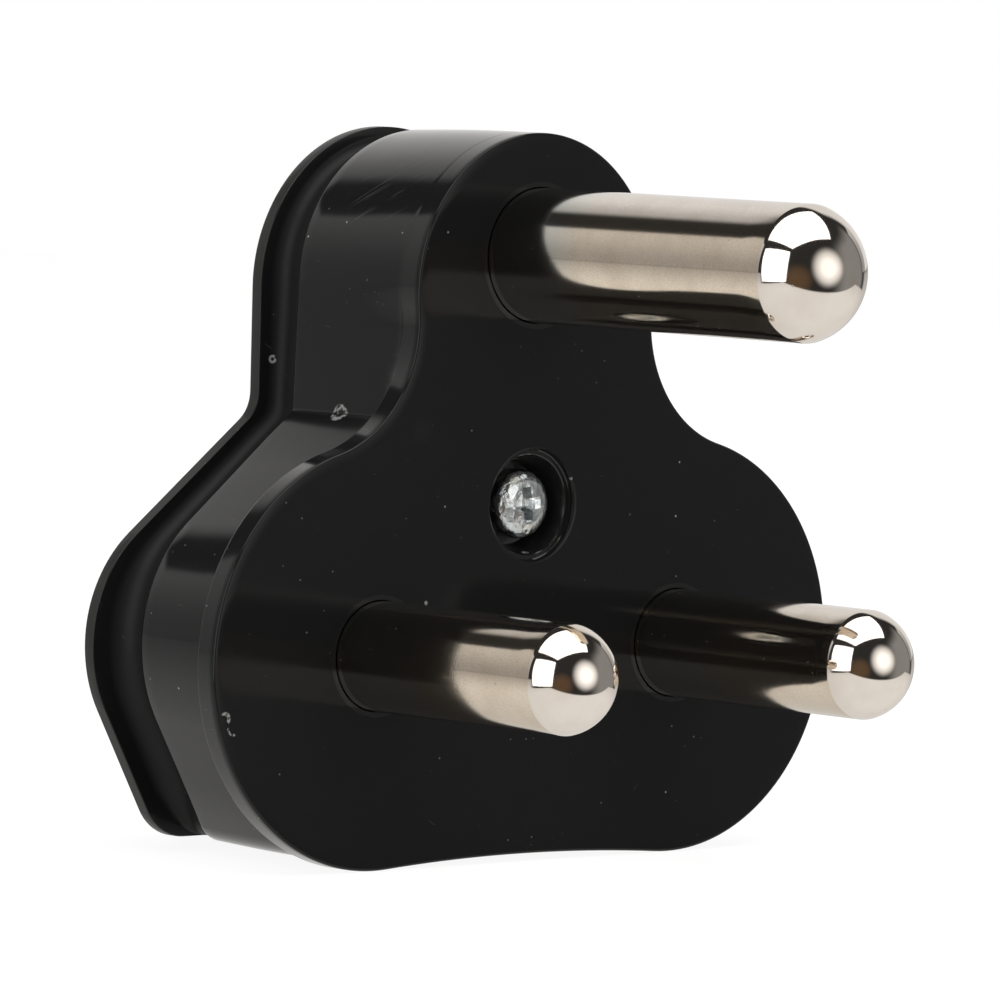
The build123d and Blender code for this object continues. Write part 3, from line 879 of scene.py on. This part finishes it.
class Finish(Nodes):
    """One procedural material, with a Principled shader at its end."""

    def __init__(self, name, **shader):
        self.material = bpy.data.materials.new(name)
        self.material.use_nodes = True
        super().__init__(self.material.node_tree)
        self.shader = self.tree.nodes["Principled BSDF"]
        for socket, value in shader.items():
            self.shader.inputs[socket.replace("_", " ")].default_value = value
        place = self.node("ShaderNodeTexCoord")
        scaled = self.node(
            "ShaderNodeVectorMath", {"operation": "SCALE"},
            {0: place.outputs["Object"], "Scale": 1 / MM},
        )
        self.place = scaled.outputs["Vector"]

    def stretched(self, scale, rotation=(0, 0, 0)):
        """The place in mm, turned and then scaled, for a texture."""
        made = self.node(
            "ShaderNodeMapping", {"vector_type": "TEXTURE"},
            {"Vector": self.place, "Rotation": rotation, "Scale": tuple(1 / s for s in scale)},
        )
        return made.outputs["Vector"]

    def noise(self, scale, detail=2.0, where=None, roughness=0.5):
        made = self.node(
            "ShaderNodeTexNoise", {"noise_dimensions": "3D"},
            {
                "Vector": where or self.place, "Scale": scale, "Detail": detail,
                "Roughness": roughness,
            },
        )
        return Sum(self, made.outputs["Fac"])

    def cells(self, scale):
        """(distance to the cell's middle, a random value for each cell)"""
        made = self.node(
            "ShaderNodeTexVoronoi", {"feature": "F1"}, {"Vector": self.place, "Scale": scale}
        )
        pick = self.node("ShaderNodeSeparateColor", None, {0: made.outputs["Color"]})
        return Sum(self, made.outputs["Distance"]), Sum(self, pick.outputs[0])

    def away(self, x, y, z):
        """Distance in mm from a point on the piece."""
        made = self.node(
            "ShaderNodeVectorMath", {"operation": "DISTANCE"}, {0: self.place, 1: (x, y, z)}
        )
        return Sum(self, made.outputs["Value"])

    def blend(self, share, first, second):
        """A colour between two, by a share."""
        made = self.node(
            "ShaderNodeMix", {"data_type": "RGBA"}, {"Factor": share, "A": first, "B": second}
        )
        return next(o for o in made.outputs if o.type == "RGBA")

    def end(self, colour, roughness, bump, strength, depth):
        """Feeds the shader: a colour, a roughness and a height in mm of depth."""
        self.feed(self.shader.inputs["Base Color"], colour)
        self.feed(self.shader.inputs["Roughness"], roughness)
        made = self.node(
            "ShaderNodeBump", None, {"Height": bump, "Strength": strength, "Distance": depth * MM}
        )
        self.feed(self.shader.inputs["Normal"], made.outputs["Normal"])
        return self.material


def grey(value, tint=(1, 1, 1)):
    return (value * tint[0], value * tint[1], value * tint[2], 1)


def scratches(finish, length, width, turned, rarity, lean=0.0):
    """Thin straight marks that run one way across the face, or leaning on a side wall."""
    where = finish.stretched((1 / length, 1 / length, 1 / width), (lean, turned, 0))
    return finish.noise(1.0, 1.0, where).above(rarity, rarity + 0.03)


def moulded_black():
    """Glossy black moulding with fine scratches, dust specks and the marks of handling."""
    f = Finish("moulded_black", Specular_IOR_Level=0.22, Coat_Roughness=0.08)
    x, y, z = f.split(f.place)
    patch = f.noise(0.09, 2.0)
    lines = None
    for family in FACE_SCRATCHES:
        one = scratches(f, *family)
        lines = lines.most(one) if lines else one
    lines = lines * patch.above(0.35, 0.6)

    near, pick = f.cells(0.55)
    specks = (1 - near.above(0.02, 0.05)) * pick.above(0.55, 0.8)
    fine, fine_pick = f.cells(1.5)
    crowd = f.noise(0.13, 2.0).above(0.42, 0.62)
    specks = specks.most((1 - fine.above(0.05, 0.11)) * fine_pick.above(0.68, 0.95) * crowd * 0.5)

    rough_edge = f.noise(4.0, 3.0).above(0.40, 0.52)
    marks = None
    for (mx, my, mz), ring_r, width, facing, open_at in MARKS:
        reach = f.away(mx, my, mz)
        shape = 1 - (reach - ring_r).size().above(width * 0.4, width)
        if facing:
            leaning = ((x - mx) * facing[0] + (z - mz) * facing[1]) / reach.most(0.01)
            shape = shape * leaning.above(open_at, open_at + 0.3)
        shape = shape * rough_edge
        marks = marks.most(shape) if marks else shape

    haze = (1 - f.away(*WAIST_HAZE).above(0.2, 1.1)) * 0.35
    neck = y.above(SPLIT_Y - 0.05, SPLIT_Y + 0.1)
    neck = neck * (1 - y.above(LIP_FRONT_Y - 0.1, LIP_FRONT_Y + 0.1))
    lip_side = y.above(LIP_FRONT_Y + 0.02, LIP_FRONT_Y + 0.1)
    lip_side = lip_side * (1 - y.above(LIP_BACK_Y - 0.04, LIP_BACK_Y + 0.04))
    rubbed = None
    for length, rarity, lean in CROWN_SCRATCHES:
        one = scratches(f, length, 0.05, 0.0, rarity, lean)
        rubbed = rubbed.most(one) if rubbed else one
    rubbed = rubbed * (1 - f.away(*CROWN_RUB).above(2.0, 5.0))

    dust = specks.most(marks * 0.8).most(lines * 0.3).most(rubbed * 0.3)
    colour = f.blend(dust.least(1), grey(0.0085, (1, 1, 1.03)), grey(0.32, (1, 0.99, 0.96)))
    colour = f.blend(lip_side * 0.9, colour, grey(0.026, (1, 0.99, 0.95)))
    rough = 0.10 + patch * 0.04 + dust * 0.35 + haze * 0.4 + lines * 0.2
    rough = rough + neck * 0.42 + lip_side * 0.3

    # The gloss coat lies on the wall and round the pin holes, thinner where the wall was handled
    handled = (1 - (z - 19).size().above(5, 9)) * 0.6
    handled = handled.most((1 - (z + 3.5).size().above(5, 9)) * 0.5)
    handled = handled.most(z.above(3, 6) * (1 - z.above(12, 15)) * 0.2)
    coat = y.above(0.25, 0.6) * (0.6 - neck * 0.58) * (1 - lip_side * 0.7)
    coat = coat * (1 - handled * y.above(1.8, 2.2))
    for _, px, pz, r, _, _ in PINS:
        dx, dz = x - px, z - pz
        off_axis = (dx * dx + dz * dz).power(0.5)
        hole_edge = (1 - (off_axis - (r + 0.2)).size().above(0.14, 0.2)) * (1 - y.above(0.3, 0.5))
        coat = coat.most(hole_edge * 0.45)
    f.feed(f.shader.inputs["Coat Weight"], coat)

    height = f.noise(0.45, 2.0) * 0.5 + f.noise(9.0, 2.0) * 0.015 - lines * 0.12 + marks * 0.4
    return f.end(colour, rough, height, 0.25, 0.03)


def bright_nickel():
    """Bright plating on turned brass: warm, with faint turning lines and a few pits."""
    f = Finish("bright_nickel", Metallic=1.0)
    x, y, z = f.split(f.place)
    turning = f.noise(1.0, 2.0, f.stretched((0.25, 9.0, 0.25)))
    cloud = f.noise(0.45, 3.0)
    grain = f.noise(9.0, 2.0)
    freckle = f.noise(13.0, 2.0).above(0.5, 0.62)
    near, pick = f.cells(1.3)
    pits = (1 - near.above(0.03, 0.1)) * pick.above(0.86, 0.88)

    # Places on the pins: the domes, the tops of the shanks, the line pins' undersides (darkened
    # there as painted shade), the roots
    line_pin = 1 - z.above(10, 12)
    tip = (1 - y.above(-25.3, -25.2)).most((1 - y.above(-18.3, -18.2)) * line_pin)
    crest = (z - z.above(12, 13) * EARTH_HEIGHT).above(2.2, 3.4)
    underside_painted_shade = (1 - z.above(-3.3, -0.3)) * (1 - tip)
    root = y.above(-9, -5)

    clouded = cloud.above(0.35, 0.75)
    bright = f.blend(clouded, grey(1, (0.82, 0.755, 0.69)), grey(1, (0.76, 0.69, 0.62)))
    warm = f.blend(clouded, grey(1, (0.85, 0.735, 0.60)), grey(1, (0.78, 0.66, 0.53)))
    colour = f.blend(tip.most(crest), warm, bright)
    colour = f.blend(freckle * (1 - tip) * 0.3, colour, grey(0.46, (1, 0.92, 0.8)))
    colour = f.blend(root * 0.85, colour, grey(0.68, (1, 1.0, 0.93)))
    # Painted shade: the line pins' undersides are darkened and browned to stand in for the shaded
    # table that they face
    colour = f.blend(underside_painted_shade * 0.38, colour, grey(0.3, (1, 0.9, 0.76)))
    colour = f.blend(pits * 0.5, colour, grey(0.25))

    uneven = turning * 0.05 + cloud * 0.05 + grain * 0.03
    rough = 0.035 + uneven * (1 - tip * 0.6) + pits * 0.3
    height = turning * 0.2 + grain * (0.5 - tip * 0.38) + f.noise(1.6, 2.0) * 0.4 - pits * 0.8
    return f.end(colour, rough, height, 0.16, 0.01)


def bright_zinc():
    """Bright zinc on steel, burred into facets where a driver has turned it."""
    f = Finish("bright_zinc", Metallic=1.0)
    cloud = f.noise(1.1, 3.0)
    facet, pick = f.cells(1.5)
    burr = f.noise(4.5, 3.0, None, 0.6)
    bright, dull = grey(0.84, (0.97, 1.0, 1.0)), grey(0.66, (0.94, 0.99, 1))
    colour = f.blend(cloud.above(0.4, 0.7), bright, dull)
    colour = f.blend(pick.above(0.55, 0.9) * 0.5, colour, grey(0.45, (0.92, 0.98, 1)))
    height = burr * 0.35 + pick * 0.5 + facet * 0.9
    return f.end(colour, 0.10 + burr * 0.16, height, 0.75, 0.14)


def turned_brass():
    """Plain brass with turning lines, for the terminal screws."""
    f = Finish("turned_brass", Metallic=1.0)
    turning = f.noise(1.0, 2.0, f.stretched((0.3, 8.0, 0.3)))
    cloud = f.noise(0.8, 2.0)
    colour = f.blend(cloud, grey(1, (0.80, 0.62, 0.30)), grey(1, (0.66, 0.48, 0.22)))
    return f.end(colour, 0.18 + turning * 0.18, turning, 0.2, 0.01)


def room():
    """White for the camera; for gloss and metal a studio with a pale table and backdrop."""
    scene = bpy.context.scene
    scene.view_settings.view_transform = "Standard"
    world = bpy.data.worlds.new("room")
    scene.world = world
    world.use_nodes = True
    world.node_tree.nodes.clear()
    w = Nodes(world.node_tree)
    path = w.node("ShaderNodeLightPath")
    toward = w.node("ShaderNodeTexCoord").outputs["Generated"]
    x, y, z = w.split(toward)
    near, down = 0 - y, 0 - z

    # The table ends in front of the plug and at both sides
    drop = down.most(0.001)
    table = (1 - (near / drop).above(1.9, 2.2)) * down.above(-0.02, 0.03)
    past_right, past_left = (x / drop).above(5.4, 5.9), ((0 - x) / drop).above(3.6, 3.9)
    table = table * (1 - past_right.most(past_left) * (1 - y.above(0.05, 0.25)))
    table_light = 0.38 + down.above(-0.1, 0.42) * 0.40 + near.above(-0.6, 0.3) * 0.10

    # The backdrop stands behind it in three lengths of different heights
    upward = z.above(-0.006, 0.0)
    behind = (y + x * 0.38).above(0.0, 0.05) * upward
    right_wall = x.above(-0.13, 0.02) * y.above(0.12, 0.3) * (1 - z.above(0.70, 0.78)) * upward
    left_wall = (1 - x.above(-0.40, -0.37)) * behind * (1 - z.above(0.60, 0.64))
    middle_wall = y.above(0.0, 0.05) * behind * (1 - z.above(0.44, 0.48))
    right_light = 0.45 + x.above(-0.1, 0.4) * 0.37
    left_light = 0.36 + z.above(0.05, 0.6) * 0.26

    # The front of the room is dark, but for a pale side, the front lamp and a warm haze
    side = x.above(0.30, 0.75) * near.above(-0.1, 0.1) * (1 - z.above(0.45, 0.7)) * 0.24
    lamp_near = w.along(toward, FRONT_GLOW)
    glow = lamp_near.above(0.84, 0.975).power(1.5) * 1.1 + lamp_near.above(0.955, 0.99) * 0.35
    haze = w.along(toward, WARM_HAZE).above(0.88, 1.0) * (1 - table)

    level = (ROOM_DARK + side + glow) * (1 - table)
    for place, light in (
        (right_wall, right_light), (left_wall, left_light),
        (middle_wall, left_light), (table, table_light),
    ):
        level = level.most(place * light)
    shade = w.node(
        "ShaderNodeCombineColor", None,
        {0: level + haze * 0.09, 1: level * 0.985 + haze * 0.045, 2: level * 0.96 + haze * 0.015},
    )
    studio = w.node("ShaderNodeBackground", None, {"Color": shade.outputs[0], "Strength": 1.0})
    plain = w.node(
        "ShaderNodeBackground", None, {"Color": (1, 0.985, 0.965, 1), "Strength": 0.3}
    )
    white = w.node("ShaderNodeBackground", None, {"Color": (1, 1, 1, 1), "Strength": 1.0})
    seen = w.mixed(w.shiny(path), plain.outputs[0], studio.outputs[0])
    seen = w.mixed(path.outputs["Is Camera Ray"], seen, white.outputs[0])
    out = w.node("ShaderNodeOutputWorld")
    w.tree.links.new(seen, out.inputs["Surface"])


def floor():
    """White paper that keeps the plug's shadow; gloss and metal look through it to the room."""
    paper = bpy.data.materials.new("studio_paper")
    paper.use_nodes = True
    paper.node_tree.nodes.clear()
    p = Nodes(paper.node_tree)
    path = p.node("ShaderNodeLightPath")
    matt = p.node("ShaderNodeBsdfDiffuse", None, {"Color": (0.85, 0.85, 0.85, 1)})
    glow = p.node("ShaderNodeEmission", None, {"Color": (1, 1, 1, 1), "Strength": PAPER_GLOW})
    clear = p.node("ShaderNodeBsdfTransparent")
    glowing = p.maths("MULTIPLY", path.outputs["Is Camera Ray"], PAPER_GLOW_SHARE)
    lit = p.mixed(glowing, matt.outputs[0], glow.outputs[0])
    out = p.node("ShaderNodeOutputMaterial")
    p.tree.links.new(p.mixed(p.shiny(path), lit, clear.outputs[0]), out.inputs["Surface"])

    bm = bmesh.new()
    floor_z = cad_low.z - FLOOR_DROP
    bm.faces.new([bm.verts.new((x, y, floor_z)) for x, y in FLOOR_CORNERS])
    mesh = bpy.data.meshes.new("studio_floor")
    bm.to_mesh(mesh)
    bm.free()
    sheet = bpy.data.objects.new("studio_floor", mesh)
    mesh.materials.append(paper)
    bpy.context.scene.collection.objects.link(sheet)


def lamp(name, place, aim, width, height, watts, shape="RECTANGLE"):
    """A soft box, in metres."""
    data = bpy.data.lights.new(name, "AREA")
    data.shape, data.size, data.size_y = shape, width, height
    data.energy = watts
    obj = bpy.data.objects.new(name, data)
    obj.location = place
    obj.rotation_euler = (Vector(aim) - Vector(place)).to_track_quat("-Z", "Y").to_euler()
    bpy.context.scene.collection.objects.link(obj)
    return obj


def camera():
    """The photo's camera, fitted to the pins and the face."""
    azimuth, elevation = radians(CAMERA_AZIMUTH), radians(CAMERA_ELEVATION)
    roll = radians(CAMERA_ROLL)
    back = Vector((sin(azimuth) * cos(elevation), -cos(azimuth) * cos(elevation), sin(elevation)))
    right = Vector((cos(azimuth), sin(azimuth), 0))
    up = back.cross(right)
    right, up = cos(roll) * right + sin(roll) * up, -sin(roll) * right + cos(roll) * up
    data = bpy.data.cameras.new("photo_camera")
    data.sensor_width = CAMERA_SENSOR
    data.lens = CAMERA_LENS
    data.clip_start, data.clip_end = 0.01, 10
    obj = bpy.data.objects.new("photo_camera", data)
    place = Matrix((right, up, back)).transposed().to_4x4()
    place.translation = Vector(CAMERA_PLACE) * MM
    obj.matrix_world = place
    bpy.context.scene.collection.objects.link(obj)
    bpy.context.scene.camera = obj


black = moulded_black()
nickel = bright_nickel()
zinc = bright_zinc()
brass = turned_brass()

make_body(black)
make_cover(black)
for pin in PINS:
    make_pin(*pin, nickel)
thread = thread_tree()
make_cover_screw(thread, zinc)
for name, x, z, _, _, _ in PINS:
    make_screw(
        name.replace("_pin", "_terminal_screw"), x, z, TERMINAL_HEAD_H,
        TERMINAL_THREAD_D, TERMINAL_PITCH, "terminal_screw", thread, brass,
    )
for side, x in (("left", -GRIP_SCREW_X), ("right", GRIP_SCREW_X)):
    make_screw(
        "cord_grip_screw_" + side, x, GRIP_Z, GRIP_HEAD_H,
        GRIP_THREAD_D, GRIP_PITCH, "screw_plating", thread, zinc,
    )
for node in ("cover_nut", "cord_grip_bar"):
    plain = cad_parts[node].data
    plain.materials.clear()
    plain.materials.append(zinc)

room()
floor()
camera()
lamp("top_box", (-0.13, -0.25, 1.0), (-0.13, -0.25, 0), 1.5, 1.05, 10)
lamp("left_box", (-0.98, -0.24, 0.24), (0, 0, 0), 0.8, 0.95, 5)
front = lamp("front_lamp", FRONT_LAMP, (0, 0, 0), 0.4, 0.4, 1.8, shape="ELLIPSE")
front.visible_glossy = False  # the room has its soft-edged likeness for gloss and metal
